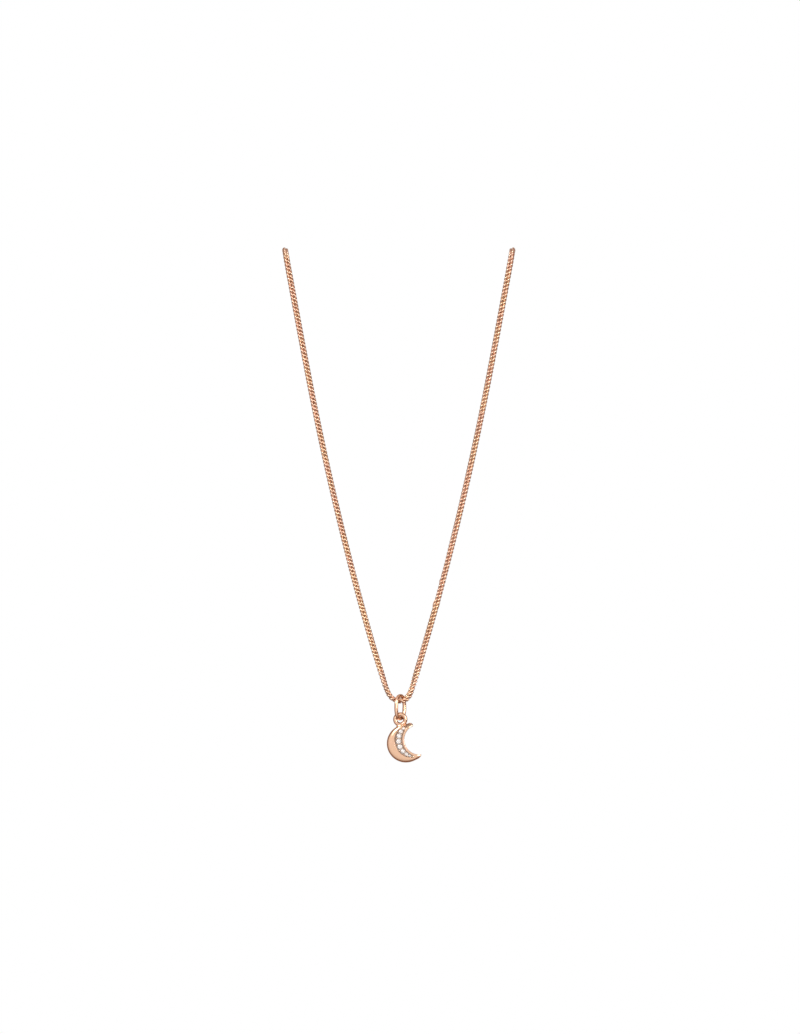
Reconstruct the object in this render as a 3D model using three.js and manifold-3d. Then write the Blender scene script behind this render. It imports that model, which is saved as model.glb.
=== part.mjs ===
// Pendant necklace: a fine curb chain closed by a bolt ring clasp, carrying an oval bail ring and a
// crescent charm set with eight round stones. It hangs folded in half over a thin bar that is not
// part of it, so the front half shows as a V and the back half hangs close behind.
//
// Millimetres, +Z up, front towards -Y. The origin is the middle of the bar's axis.

import * as THREE from 'three';
import { mergeVertices } from 'three/addons/utils/BufferGeometryUtils.js';
import Module from 'manifold-3d';

const wasm = await Module();
wasm.setup();

// ---------------------------------------------------------------- driving dimensions

const CLEARANCE = 0.04; // between pieces that bear on each other

// Chain: its outer diameter, and how it hangs over the bar.
const CHAIN_R = 0.62;
const CHAIN_SIDES = 8;
const CHAIN_STEPS_PER_POINT = 2;
const BEND_R = 2.6; // centreline radius over the bar, so the halves hang 2 * BEND_R apart
// One strand from the bar's level down to the V's bottom: [half width, height].
const STRAND = [
  [23.86, 0],
  [17.81, -32],
  [13.41, -52],
  [8.36, -72],
  [4.32, -86],
  [2.25, -92.25],
  [1.38, -93.3],
];
const BOTTOM_Z = -93.75;
// The strand keeps leaning outwards on its way over the bar, by this much for each mm of height.
const TOP_LEAN = 0.17;
const BAR_ANGLES = [45, 90, 135];
// The charm's weight draws the front V's bottom to the bail ring, less and less with height.
const DRAW_HEIGHT = 4;

// Bail ring: an oval of round wire.
const BAIL_X = 0.32;
const BAIL_WIRE_R = 0.4;
const BAIL_HALF_WIDTH = 1.64;
const BAIL_HALF_HEIGHT = 2.42;
const BAIL_SQUARENESS = 2.4; // exponent of its superellipse; 2 is a plain ellipse
const BAIL_TURN_DEG = 58; // its plane, turned about the vertical from facing front
const BAIL_CHAIN_GAP = 0.09; // room for its oblique wire to swing on the chain's bend

// Charm loop: a round loop soldered on the crescent's upper left.
const LOOP_WIRE_R = 0.45;
const LOOP_R = 1.08;

// Crescent: a disc less an off-centre round opening. Centres are [x, z] from the loop's centre.
const CRESCENT_CENTRE = [1.2, -5.12];
const CRESCENT_R = 4.07;
const OPENING_CENTRE = [4.06, -4.27];
const OPENING_R = 3.2;
const CRESCENT_THICK = 1.5;
const CRESCENT_FRONT = 0.84; // its front face from the loop's plane, so that the charm hangs plumb
const CRESCENT_EDGE_R = 0.45; // rounding of the back edge; the front's dome is broader
const CRESCENT_DOME = 1.5;
const SOLDER_GAP = 0.03;

// Pave channel along the opening: a sunken floor between a plain outer band and a thin inner rim.
const CHANNEL_CENTRE = [2.31, -4.48];
const CHANNEL_R = 3.56;
const CHANNEL_DEPTH = 0.3;
const CHANNEL_RIM = 0.4;
const CHANNEL_END_CENTRE = [0.03, -5.13];
const CHANNEL_END_R = 3.72;

// Stones: diameters from the upper horn to the lower tip, laid along an arc in the channel.
const STONES = [0.72, 0.92, 1.07, 1.14, 1.12, 1.0, 0.84, 0.66];
const STONE_ARC_CENTRE = [3.13, -4.38];
const STONE_ARC_R = 3.52;
const STONE_ARC_START_DEG = 134; // of the first stone's centre, anticlockwise from +X
const STONE_SPACING = 0.07;
const STONE_CROWN = 0.16; // shares of a stone's diameter
const STONE_PAVILION = 0.43;
const STONE_GIRDLE = 0.04;
const STONE_TABLE = 0.56;
const STONE_SIDES = 12;
const SEAT_GAP = 0.03;
const SEAT_HOLE = 0.22; // radius of the open hole behind a stone, as a share of its diameter

// Clasp: a bolt ring in line with the back right strand, edge on to the front.
const CLASP_CENTRE = [8.62, -71];
const CLASP_LEAN_DEG = 15.2; // the strand's own lean there
const CLASP_R = 1.85;
const CLASP_TUBE_R = 0.38;
const CLASP_BORE_R = 0.25;
const GATE_DEG = [20, 75]; // opening, clockwise from the top towards the back
const SOCKET_DEG = 9; // how far the bolt's tip enters the far side
const BORE_END_DEG = 256;
const BOLT_R = 0.2;
const BOLT_END_DEG = 100;
const KNOB_DEG = 89;
const KNOB_NECK_R = 0.11;
const KNOB_R = 0.24;
const KNOB_HEIGHT = 0.28;
const SLOT_R = 0.16;
const SLOT_SINK = 0.08; // its centre below the tube's outside
const SLOT_DEG = [80, 158];
const SPRING_DEG = [103, 252];
const SPRING_R = 0.16;
const SPRING_WIRE_R = 0.045;
const SPRING_TURNS = 13;

// Rings that join the clasp to the chain's two ends.
const TAIL_R = 0.5;
const TAIL_WIRE_R = 0.17;
const TAIL_SINK = 0.1; // how far the tail loop's foot goes into the clasp's tube
const JUMP_R = 0.7;
const JUMP_WIRE_R = 0.16;
const LINK_WIRE_R = 0.18;
const UPPER_LINK_R = 0.44;
const LOWER_LINK_R = 0.55;
const CATCH_HALF_WIDTH = 0.58;
const CATCH_HALF_HEIGHT = 0.95;
const CATCH_WIRE_R = 0.14;
const CATCH_SQUARENESS = 3;

// ---------------------------------------------------------------- materials

const roseGold = new THREE.MeshStandardMaterial({ color: 0xd8a083, metalness: 1, roughness: 0.22 });
const chainGold = new THREE.MeshStandardMaterial({ color: 0xc98f70, metalness: 1, roughness: 0.35 });
const stoneClear = new THREE.MeshStandardMaterial({ color: 0xeef1f6, metalness: 0, roughness: 0.05 });
const springSteel = new THREE.MeshStandardMaterial({ color: 0xb9bcc0, metalness: 1, roughness: 0.3 });

// ---------------------------------------------------------------- solids and curves

const radians = THREE.MathUtils.degToRad;

// A closed geometry as a solid that can be joined and cut.
function solid(geometry) {
  const bare = new THREE.BufferGeometry();
  bare.setAttribute('position', geometry.getAttribute('position').clone());
  if (geometry.index) {
    bare.setIndex(geometry.index.clone());
  }
  const merged = mergeVertices(bare, 1e-5);
  const vertProperties = new Float32Array(merged.getAttribute('position').array);
  const triVerts = new Uint32Array(merged.index.array);
  return new wasm.Manifold(new wasm.Mesh({ numProp: 3, vertProperties, triVerts }));
}

// A solid back as a geometry.
function geometryOf(body) {
  const mesh = body.getMesh();
  const geometry = new THREE.BufferGeometry();
  geometry.setAttribute('position', new THREE.BufferAttribute(mesh.vertProperties, 3));
  geometry.setIndex(new THREE.BufferAttribute(mesh.triVerts, 1));
  geometry.computeVertexNormals();
  return geometry;
}

function named(name, geometry, material) {
  const mesh = new THREE.Mesh(geometry, material);
  mesh.name = name;
  return mesh;
}

// A round section of straight sides.
function section(radius, sides) {
  const points = [];
  for (let i = 0; i < sides; i += 1) {
    const angle = (2 * Math.PI * i) / sides;
    points.push(new THREE.Vector2(radius * Math.cos(angle), radius * Math.sin(angle)));
  }
  return new THREE.Shape(points);
}

function tubeAlong(path, radius, sides, steps) {
  return new THREE.ExtrudeGeometry(section(radius, sides), { extrudePath: path, steps });
}

// A circular arc in the YZ plane, clockwise from the top towards +Y.
class ClaspArc extends THREE.Curve {
  constructor(radius, startDeg, endDeg) {
    super();
    this.radius = radius;
    this.start = radians(startDeg);
    this.sweep = radians(endDeg - startDeg);
  }

  getPoint(t) {
    const angle = this.start + this.sweep * t;
    return new THREE.Vector3(0, this.radius * Math.sin(angle), this.radius * Math.cos(angle));
  }
}

// A coil wound round an arc in the YZ plane.
class ArcCoil extends ClaspArc {
  constructor(radius, startDeg, endDeg, coilR, turns) {
    super(radius, startDeg, endDeg);
    this.coilR = coilR;
    this.turns = turns;
  }

  getPoint(t) {
    const angle = this.start + this.sweep * t;
    const turn = 2 * Math.PI * this.turns * t;
    const reach = this.radius + this.coilR * Math.cos(turn);
    const across = this.coilR * Math.sin(turn);
    return new THREE.Vector3(across, reach * Math.sin(angle), reach * Math.cos(angle));
  }
}

// A closed ring of round wire in the XZ plane, on an oval outline.
function ovalRing(halfWidth, halfHeight, wireR, squareness, steps, sides) {
  const power = 2 / squareness;
  const onOval = (angle) => {
    const c = Math.cos(angle);
    const s = Math.sin(angle);
    return new THREE.Vector3(
      halfWidth * Math.sign(c) * Math.abs(c) ** power,
      0,
      halfHeight * Math.sign(s) * Math.abs(s) ** power,
    );
  };
  const positions = [];
  const index = [];
  const nudge = 1e-3;
  for (let i = 0; i < steps; i += 1) {
    const angle = (2 * Math.PI * (i + 0.5)) / steps;
    const centre = onOval(angle);
    const along = onOval(angle + nudge).sub(onOval(angle - nudge)).normalize();
    const outwards = new THREE.Vector3(along.z, 0, -along.x);
    for (let j = 0; j < sides; j += 1) {
      const round = (2 * Math.PI * j) / sides;
      const out = wireR * Math.cos(round);
      positions.push(centre.x + out * outwards.x, wireR * Math.sin(round), centre.z + out * outwards.z);
      const a = i * sides + j;
      const b = i * sides + ((j + 1) % sides);
      const c = ((i + 1) % steps) * sides + j;
      const d = ((i + 1) % steps) * sides + ((j + 1) % sides);
      index.push(a, b, c, b, d, c);
    }
  }
  const geometry = new THREE.BufferGeometry();
  geometry.setAttribute('position', new THREE.Float32BufferAttribute(positions, 3));
  geometry.setIndex(index);
  return geometry;
}

function roundRing(radius, wireR, steps, sides) {
  return ovalRing(radius, radius, wireR, 2, steps, sides);
}

// A solid of revolution about Y, from [radius, height] points that start and end on the axis.
function turned(points, sides) {
  return new THREE.LatheGeometry(points.map(([r, y]) => new THREE.Vector2(r, y)), sides);
}

// ---------------------------------------------------------------- chain

// The chain's centreline in the order it is threaded, from the clasp over the bar, down the front
// right, through the bail ring, up the front left, over the bar and back to the clasp.
function chainRoute(upperEnd, lowerEnd) {
  const points = [];
  const put = (x, y, z) => points.push(new THREE.Vector3(x, y, z));
  const drawn = (y, z) => (y < 0 ? BAIL_X * Math.exp((BOTTOM_Z - z) / DRAW_HEIGHT) : 0);
  const down = (side, y, list) => list.forEach(([x, z]) => put(side * x + drawn(y, z), y, z));
  const overBar = (side, angles) =>
    angles.forEach((deg) => {
      const z = BEND_R * Math.sin(radians(deg));
      put(side * (STRAND[0][0] + TOP_LEAN * z), -BEND_R * Math.cos(radians(deg)), z);
    });
  const upwards = [...STRAND].reverse();
  put(upperEnd.x, BEND_R, upperEnd.z);
  down(1, BEND_R, upwards.filter(([, z]) => z > upperEnd.z + 1));
  overBar(1, [...BAR_ANGLES].reverse());
  down(1, -BEND_R, STRAND);
  put(BAIL_X, -BEND_R, BOTTOM_Z);
  down(-1, -BEND_R, upwards);
  overBar(-1, BAR_ANGLES);
  down(-1, BEND_R, STRAND);
  put(0, BEND_R, BOTTOM_Z);
  down(1, BEND_R, upwards.filter(([, z]) => z < lowerEnd.z - 1));
  put(lowerEnd.x, BEND_R, lowerEnd.z);
  return points;
}

// A curve through the points whose steps follow the points' own spacing: close at the bends and
// long on the straight strands.
class Route extends THREE.CatmullRomCurve3 {
  getPointAt(u) {
    return this.getPoint(u);
  }

  getTangentAt(u) {
    return this.getTangent(u);
  }
}

function chainGeometry(points) {
  const path = new Route(points, false, 'centripetal');
  return tubeAlong(path, CHAIN_R, CHAIN_SIDES, CHAIN_STEPS_PER_POINT * (points.length - 1));
}

// ---------------------------------------------------------------- charm, from its loop's centre

// A turned solid laid with its axis along Y, placed at an [x, z] centre.
function disc(centre, points, sides) {
  return solid(turned(points, sides)).translate([centre[0], 0, centre[1]]);
}

const FRONT_Y = -CRESCENT_FRONT;
const FLOOR_Y = FRONT_Y + CHANNEL_DEPTH;
const FAR = 3; // well past either face

function crescentBlank() {
  const back = FRONT_Y + CRESCENT_THICK;
  const r = CRESCENT_R;
  const profile = [[0, FRONT_Y]];
  const domeSteps = 5;
  for (let i = 0; i <= domeSteps; i += 1) {
    const angle = radians((90 * i) / domeSteps);
    const depth = 0.5 * CRESCENT_THICK * (1 - Math.cos(angle));
    profile.push([r - CRESCENT_DOME * (1 - Math.sin(angle)), FRONT_Y + depth]);
  }
  profile.push([r, back - CRESCENT_EDGE_R]);
  profile.push([r - 0.3 * CRESCENT_EDGE_R, back - 0.3 * CRESCENT_EDGE_R]);
  profile.push([r - CRESCENT_EDGE_R, back]);
  profile.push([0, back]);
  const opening = [[0, -FAR], [OPENING_R, -FAR], [OPENING_R, FAR], [0, FAR]];
  return disc(CRESCENT_CENTRE, profile, 56).subtract(disc(OPENING_CENTRE, opening, 48));
}

function channel() {
  const cut = (r) => [[0, -FAR], [r, -FAR], [r, FLOOR_Y], [0, FLOOR_Y]];
  const keep = (r) => [[0, -FAR - 1], [r, -FAR - 1], [r, FAR], [0, FAR]];
  return disc(CHANNEL_CENTRE, cut(CHANNEL_R), 48)
    .subtract(disc(OPENING_CENTRE, keep(OPENING_R + CHANNEL_RIM), 48))
    .intersect(disc(CHANNEL_END_CENTRE, keep(CHANNEL_END_R), 32));
}

// The stones' centres along their arc, spaced by their own sizes.
function stonePlaces() {
  let angle = radians(STONE_ARC_START_DEG);
  return STONES.map((diameter, i) => {
    if (i > 0) {
      angle += ((STONES[i - 1] + diameter) / 2 + STONE_SPACING) / STONE_ARC_R;
    }
    const x = STONE_ARC_CENTRE[0] + STONE_ARC_R * Math.cos(angle);
    const z = STONE_ARC_CENTRE[1] + STONE_ARC_R * Math.sin(angle);
    return { diameter, centre: [x, z] };
  });
}

// A round stone, table to the front, its girdle at the channel's floor.
function stoneGeometry({ diameter, centre }) {
  const r = diameter / 2;
  const profile = [
    [0, FLOOR_Y - STONE_CROWN * diameter],
    [STONE_TABLE * r, FLOOR_Y - STONE_CROWN * diameter],
    [r, FLOOR_Y],
    [r, FLOOR_Y + STONE_GIRDLE * diameter],
    [0, FLOOR_Y + STONE_PAVILION * diameter],
  ];
  const geometry = turned(profile, STONE_SIDES);
  geometry.translate(centre[0], 0, centre[1]);
  return geometryOf(solid(geometry));
}

// The seat under a stone: a step for its girdle, a cone for its pavilion and an open hole behind.
function seat({ diameter, centre }) {
  const r = diameter / 2 + SEAT_GAP;
  const step = FLOOR_Y + STONE_GIRDLE * diameter + SEAT_GAP;
  const slope = (STONE_PAVILION - STONE_GIRDLE) * 2;
  const hole = SEAT_HOLE * diameter;
  const profile = [
    [0, FRONT_Y - 1],
    [r, FRONT_Y - 1],
    [r, step],
    [hole, step + slope * (r - hole)],
    [hole, FAR],
    [0, FAR],
  ];
  return disc(centre, profile, 16);
}

function crescentGeometry() {
  let body = crescentBlank().subtract(channel());
  stonePlaces().forEach((place) => {
    body = body.subtract(seat(place));
  });
  return geometryOf(body);
}

// The loop, cut to the crescent's outline where it is soldered on.
function loopGeometry() {
  const outline = CRESCENT_R + SOLDER_GAP;
  const profile = [[0, -FAR], [outline, -FAR], [outline, FAR], [0, FAR]];
  const ring = solid(roundRing(LOOP_R, LOOP_WIRE_R, 32, 10));
  return geometryOf(ring.subtract(disc(CRESCENT_CENTRE, profile, 64)));
}

// ---------------------------------------------------------------- clasp, from its ring's centre

// The clasp's own frame: Z along the strand, the ring in the YZ plane.
function claspBodyGeometry() {
  const tubeEnd = 360 + GATE_DEG[0];
  const body = solid(tubeAlong(new ClaspArc(CLASP_R, GATE_DEG[1], tubeEnd), CLASP_TUBE_R, 12, 40));
  const boreStart = GATE_DEG[1] - 5;
  const bore = solid(tubeAlong(new ClaspArc(CLASP_R, boreStart, BORE_END_DEG), CLASP_BORE_R, 10, 26));
  const socketFrom = tubeEnd - SOCKET_DEG - 2;
  const socket = solid(tubeAlong(new ClaspArc(CLASP_R, socketFrom, tubeEnd + 5), CLASP_BORE_R, 10, 4));
  const slotR = CLASP_R + CLASP_TUBE_R - SLOT_SINK;
  const slot = solid(tubeAlong(new ClaspArc(slotR, SLOT_DEG[0], SLOT_DEG[1]), SLOT_R, 8, 12));
  return geometryOf(body.subtract(bore).subtract(socket).subtract(slot));
}

// The bolt: a curved rod that closes the gate, with the thumb knob that stands out of the slot.
function claspBoltGeometry() {
  const path = new ClaspArc(CLASP_R, GATE_DEG[0] - SOCKET_DEG, BOLT_END_DEG);
  const rod = solid(tubeAlong(path, BOLT_R, 10, 16));
  const neckTop = CLASP_R + CLASP_TUBE_R + 2 * CLEARANCE;
  const profile = [
    [0, CLASP_R],
    [KNOB_NECK_R, CLASP_R],
    [KNOB_NECK_R, neckTop],
    [KNOB_R, neckTop + 0.2 * KNOB_HEIGHT],
    [KNOB_R, neckTop + 0.7 * KNOB_HEIGHT],
    [0.6 * KNOB_R, neckTop + KNOB_HEIGHT],
    [0, neckTop + KNOB_HEIGHT],
  ];
  const knob = solid(turned(profile, 12)).rotate([90 - KNOB_DEG, 0, 0]);
  return geometryOf(rod.add(knob));
}

// The tail loop, cut where its foot is soldered to the clasp's tube.
function tailGeometry(centreZ) {
  const ring = solid(roundRing(TAIL_R, TAIL_WIRE_R, 24, 8)).translate([0, 0, centreZ]);
  const path = new ClaspArc(CLASP_R, -30, 30);
  return geometryOf(ring.subtract(solid(tubeAlong(path, CLASP_TUBE_R + SOLDER_GAP, 12, 8))));
}

// Where each ring of the closure hangs, as heights in the clasp's frame. Each bears on the next.
function closureHeights() {
  const bearing = (a, b) => a + b + CLEARANCE;
  const tail = CLASP_R + CLASP_TUBE_R + TAIL_R + TAIL_WIRE_R - TAIL_SINK;
  const jump = tail + TAIL_R - bearing(TAIL_WIRE_R, JUMP_WIRE_R) + JUMP_R;
  const upperLink = jump + JUMP_R - bearing(JUMP_WIRE_R, LINK_WIRE_R) + UPPER_LINK_R;
  const chainUpper = upperLink + UPPER_LINK_R + LINK_WIRE_R + CLEARANCE;
  const catchTop = -CLASP_R + bearing(CLASP_TUBE_R, CATCH_WIRE_R);
  const catchRing = catchTop - CATCH_HALF_HEIGHT;
  const catchBottom = catchRing - CATCH_HALF_HEIGHT;
  const lowerLink = catchBottom + bearing(CATCH_WIRE_R, LINK_WIRE_R) - LOWER_LINK_R;
  const chainLower = lowerLink - LOWER_LINK_R - LINK_WIRE_R - CLEARANCE;
  return { tail, jump, upperLink, chainUpper, catchRing, lowerLink, chainLower };
}

function closureMeshes(heights) {
  const ring = (name, geometry, height, facesSide) => {
    const mesh = named(name, geometry, roseGold);
    mesh.position.z = height;
    mesh.rotation.z = facesSide ? Math.PI / 2 : 0;
    return mesh;
  };
  const coil = new ArcCoil(CLASP_R, SPRING_DEG[0], SPRING_DEG[1], SPRING_R, SPRING_TURNS);
  const springSteps = SPRING_TURNS * 9;
  const catchWire = ovalRing(CATCH_HALF_WIDTH, CATCH_HALF_HEIGHT, CATCH_WIRE_R, CATCH_SQUARENESS, 24, 8);
  return [
    named('clasp_ring_body', claspBodyGeometry(), roseGold),
    named('clasp_bolt', claspBoltGeometry(), roseGold),
    named('clasp_spring', tubeAlong(coil, SPRING_WIRE_R, 5, springSteps), springSteel),
    named('clasp_tail_loop', tailGeometry(heights.tail), roseGold),
    ring('clasp_jump_ring', roundRing(JUMP_R, JUMP_WIRE_R, 24, 8), heights.jump, true),
    ring('chain_end_link_upper', roundRing(UPPER_LINK_R, LINK_WIRE_R, 20, 8), heights.upperLink, false),
    ring('catch_ring', catchWire, heights.catchRing, false),
    ring('chain_end_link_lower', roundRing(LOWER_LINK_R, LINK_WIRE_R, 20, 8), heights.lowerLink, true),
  ];
}

// ---------------------------------------------------------------- assembly

const necklace = new THREE.Group();

// Clasp and the rings beside it.
const heights = closureHeights();
const closure = new THREE.Group();
closure.position.set(CLASP_CENTRE[0], BEND_R, CLASP_CENTRE[1]);
closure.rotation.y = radians(CLASP_LEAN_DEG);
closure.add(...closureMeshes(heights));
closure.updateMatrixWorld(true);
necklace.add(closure);

// Chain, from the clasp's upper side round to its lower side.
const upperEnd = closure.localToWorld(new THREE.Vector3(0, 0, heights.chainUpper));
const lowerEnd = closure.localToWorld(new THREE.Vector3(0, 0, heights.chainLower));
necklace.add(named('chain', chainGeometry(chainRoute(upperEnd, lowerEnd)), chainGold));

// Bail ring, its top wire resting on the chain at the V's bottom.
const bailTopZ = BOTTOM_Z + CHAIN_R + BAIL_WIRE_R + BAIL_CHAIN_GAP;
const bailZ = bailTopZ - BAIL_HALF_HEIGHT;
const bailWire = ovalRing(BAIL_HALF_WIDTH, BAIL_HALF_HEIGHT, BAIL_WIRE_R, BAIL_SQUARENESS, 36, 10);
const bail = named('bail_ring', bailWire, roseGold);
bail.position.set(BAIL_X, -BEND_R, bailZ);
bail.rotation.z = radians(BAIL_TURN_DEG);
necklace.add(bail);

// Charm, its loop hanging on the bail ring's lowest wire.
const loopTopZ = bailZ - BAIL_HALF_HEIGHT + BAIL_WIRE_R + LOOP_WIRE_R + CLEARANCE;
const charm = new THREE.Group();
charm.position.set(BAIL_X, -BEND_R, loopTopZ - LOOP_R);
charm.add(named('charm_loop', loopGeometry(), roseGold));
charm.add(named('crescent_body', crescentGeometry(), roseGold));
stonePlaces().forEach((place, i) => {
  charm.add(named(`stone_${i + 1}`, stoneGeometry(place), stoneClear));
});
necklace.add(charm);

export default necklace;
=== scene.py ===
"""Pendant necklace: a rose gold curb chain with a bolt ring clasp, an oval bail ring and a crescent charm
set with eight round stones. It hangs folded in half over a thin bar that is not part of it."""

import math

import bpy
import bmesh
import numpy as np
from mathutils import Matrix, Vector


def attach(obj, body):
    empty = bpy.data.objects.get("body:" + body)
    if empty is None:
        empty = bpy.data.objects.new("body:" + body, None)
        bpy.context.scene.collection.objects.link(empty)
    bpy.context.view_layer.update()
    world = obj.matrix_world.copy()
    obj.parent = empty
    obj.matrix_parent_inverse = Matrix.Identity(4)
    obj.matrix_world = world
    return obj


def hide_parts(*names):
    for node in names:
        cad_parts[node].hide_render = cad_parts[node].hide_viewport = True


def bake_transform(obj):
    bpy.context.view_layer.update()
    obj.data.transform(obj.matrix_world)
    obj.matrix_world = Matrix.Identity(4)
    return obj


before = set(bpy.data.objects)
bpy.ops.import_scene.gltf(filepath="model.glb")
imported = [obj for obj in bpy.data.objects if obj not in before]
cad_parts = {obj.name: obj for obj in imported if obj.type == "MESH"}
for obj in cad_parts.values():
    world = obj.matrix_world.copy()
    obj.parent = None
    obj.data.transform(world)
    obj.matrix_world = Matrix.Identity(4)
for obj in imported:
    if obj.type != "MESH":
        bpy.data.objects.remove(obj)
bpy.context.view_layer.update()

MM = 0.001
SCENE = bpy.context.scene

# ---------------------------------------------------------------- camera

VIEW_HEIGHT = 0.2206  # of the whole picture, at the front strands
VIEW_CENTRE = (0.00026, -0.05448)  # x and z
FRONT_Y = -0.0026  # the front strands' plane
CAMERA_DISTANCE = 1.2
SENSOR = 36.0


def make_camera():
    data = bpy.data.cameras.new("camera")
    data.sensor_width = SENSOR
    data.lens = SENSOR * CAMERA_DISTANCE / VIEW_HEIGHT
    data.clip_start, data.clip_end = 0.01, 20
    camera = bpy.data.objects.new("camera", data)
    camera.location = (VIEW_CENTRE[0], FRONT_Y - CAMERA_DISTANCE, VIEW_CENTRE[1])
    camera.rotation_euler = (math.pi / 2, 0, 0)
    SCENE.collection.objects.link(camera)
    SCENE.camera = camera


make_camera()

# ---------------------------------------------------------------- materials


def new_material(name):
    material = bpy.data.materials.new(name)
    material.use_nodes = True
    nodes = material.node_tree.nodes
    return material, nodes, material.node_tree.links, nodes["Principled BSDF"]


def noise_node(nodes, links, coords, scale, detail, distortion=0.0):
    node = nodes.new("ShaderNodeTexNoise")
    node.inputs["Scale"].default_value = scale
    node.inputs["Detail"].default_value = detail
    node.inputs["Distortion"].default_value = distortion
    links.new(coords, node.inputs["Vector"])
    return node.outputs["Fac"]


def range_node(nodes, links, value, low, high, to_low, to_high, interpolation="LINEAR"):
    node = nodes.new("ShaderNodeMapRange")
    node.interpolation_type = interpolation
    for socket, number in zip(("From Min", "From Max", "To Min", "To Max"), (low, high, to_low, to_high)):
        node.inputs[socket].default_value = number
    links.new(value, node.inputs["Value"])
    return node.outputs["Result"]


def mix_node(nodes, links, factor, first, second):
    node = nodes.new("ShaderNodeMix")
    node.data_type = "RGBA"
    links.new(factor, node.inputs["Factor"])
    for socket, colour in (("A", first), ("B", second)):
        target = next(i for i in node.inputs if i.name == socket and i.type == "RGBA")
        if isinstance(colour, tuple):
            target.default_value = (*colour, 1)
        else:
            links.new(colour, target)
    return next(o for o in node.outputs if o.type == "RGBA")


# Colour of the painted shade laid into the metal's recesses and crevices.
PAINTED_SHADE_COLOUR = (0.2, 0.14, 0.11)


def polished_metal(name, pink, gold, roughness, scratch, patch_mm):
    """Plated metal: hue that drifts between pink and gold, fine hazing and fine polishing marks. Painted
    shade darkens it in the recesses, where a mesh says so with its attribute for that shade."""
    material, nodes, links, shader = new_material(name)
    coords = nodes.new("ShaderNodeTexCoord").outputs["Object"]
    patches = noise_node(nodes, links, coords, 1 / (patch_mm * MM), 2.0)
    drift = range_node(nodes, links, patches, 0.4, 0.6, 0.0, 1.0)
    haze = noise_node(nodes, links, coords, 1 / (0.5 * MM), 3.0)
    stretch = nodes.new("ShaderNodeMapping")
    stretch.inputs["Scale"].default_value = (1.0, 1.0, 5.0)
    links.new(coords, stretch.inputs["Vector"])
    marks = noise_node(nodes, links, stretch.outputs["Vector"], 1 / (0.11 * MM), 4.0, 0.6)
    # The mesh's attribute says where painted shade darkens the plating.
    shade_attribute = nodes.new("ShaderNodeAttribute")
    shade_attribute.attribute_name = "painted_shade"
    plating = mix_node(nodes, links, drift, pink, gold)
    shaded_plating = mix_node(nodes, links, shade_attribute.outputs["Fac"], plating, PAINTED_SHADE_COLOUR)
    links.new(shaded_plating, shader.inputs["Base Color"])
    shader.inputs["Metallic"].default_value = 1.0
    links.new(
        range_node(nodes, links, haze, 0.3, 0.7, roughness * 0.75, roughness * 1.35),
        shader.inputs["Roughness"],
    )
    bump = nodes.new("ShaderNodeBump")
    bump.inputs["Strength"].default_value = scratch
    bump.inputs["Distance"].default_value = 0.01 * MM
    links.new(marks, bump.inputs["Height"])
    links.new(bump.outputs["Normal"], shader.inputs["Normal"])
    return material


ROSE = polished_metal("rose_gold", (0.87, 0.53, 0.40), (0.87, 0.56, 0.38), 0.18, 0.25, 6.0)
CHAIN_GOLD = polished_metal("chain_gold", (0.88, 0.59, 0.45), (0.88, 0.62, 0.425), 0.3, 0.3, 5.0)
PAVE_GOLD = polished_metal("pave_gold", (0.94, 0.74, 0.60), (0.95, 0.78, 0.60), 0.2, 0.25, 1.0)
STEEL = polished_metal("spring_steel", (0.62, 0.62, 0.63), (0.66, 0.65, 0.62), 0.22, 0.3, 1.0)


def stone_material():
    material, nodes, links, shader = new_material("stone")
    coords = nodes.new("ShaderNodeTexCoord").outputs["Object"]
    clouds = noise_node(nodes, links, coords, 1 / (0.6 * MM), 1.0)
    tint = mix_node(nodes, links, clouds, (0.97, 0.97, 0.99), (1.0, 0.985, 0.975))
    links.new(tint, shader.inputs["Base Color"])
    wipe = noise_node(nodes, links, coords, 1 / (0.2 * MM), 2.0)
    links.new(range_node(nodes, links, wipe, 0.3, 0.7, 0.0, 0.03), shader.inputs["Roughness"])
    shader.inputs["IOR"].default_value = 2.15
    shader.inputs["Transmission Weight"].default_value = 0.6
    return material


STONE = stone_material()

# ---------------------------------------------------------------- mesh helpers


def mesh_object(name, verts, faces, material, sharp_deg=40):
    mesh = bpy.data.meshes.new(name)
    mesh.from_pydata(np.asarray(verts, float).tolist(), [], faces)
    mesh.materials.append(material)
    mesh.polygons.foreach_set("use_smooth", [True] * len(mesh.polygons))
    mesh.update()
    mesh.validate()
    if sharp_deg:
        mesh.set_sharp_from_angle(angle=math.radians(sharp_deg))
    piece = bpy.data.objects.new(name, mesh)
    SCENE.collection.objects.link(piece)
    return piece


def joined(parts):
    """Several (verts, faces) as one."""
    verts, faces, start = [], [], 0
    for part_verts, part_faces in parts:
        verts.append(np.asarray(part_verts, float))
        faces.extend([tuple(i + start for i in face) for face in part_faces])
        start += len(part_verts)
    return np.concatenate(verts), faces


def grid_faces(rows, columns, close_rows, close_columns):
    faces = []
    for i in range(rows if close_rows else rows - 1):
        for j in range(columns if close_columns else columns - 1):
            k, m = (i + 1) % rows, (j + 1) % columns
            faces.append((i * columns + j, i * columns + m, k * columns + m, k * columns + j))
    return faces


def swept(centres, outs, ups, out_r, up_r, sides, closed):
    """A tube: its section's two axes and radii are given at each centre. Open ends get flat caps."""
    centres, outs, ups = (np.asarray(a, float) for a in (centres, outs, ups))
    count = len(centres)
    out_r = np.broadcast_to(out_r, count)
    up_r = np.broadcast_to(up_r, count)
    angle = 2 * np.pi * np.arange(sides) / sides
    c, s = np.cos(angle), np.sin(angle)
    verts = (
        centres[:, None]
        + outs[:, None] * (out_r[:, None, None] * c[None, :, None])
        + ups[:, None] * (up_r[:, None, None] * s[None, :, None])
    ).reshape(-1, 3)
    faces = grid_faces(count, sides, closed, True)
    if not closed:
        faces.append(tuple(reversed(range(sides))))
        faces.append(tuple(range((count - 1) * sides, count * sides)))
    return verts, faces


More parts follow.
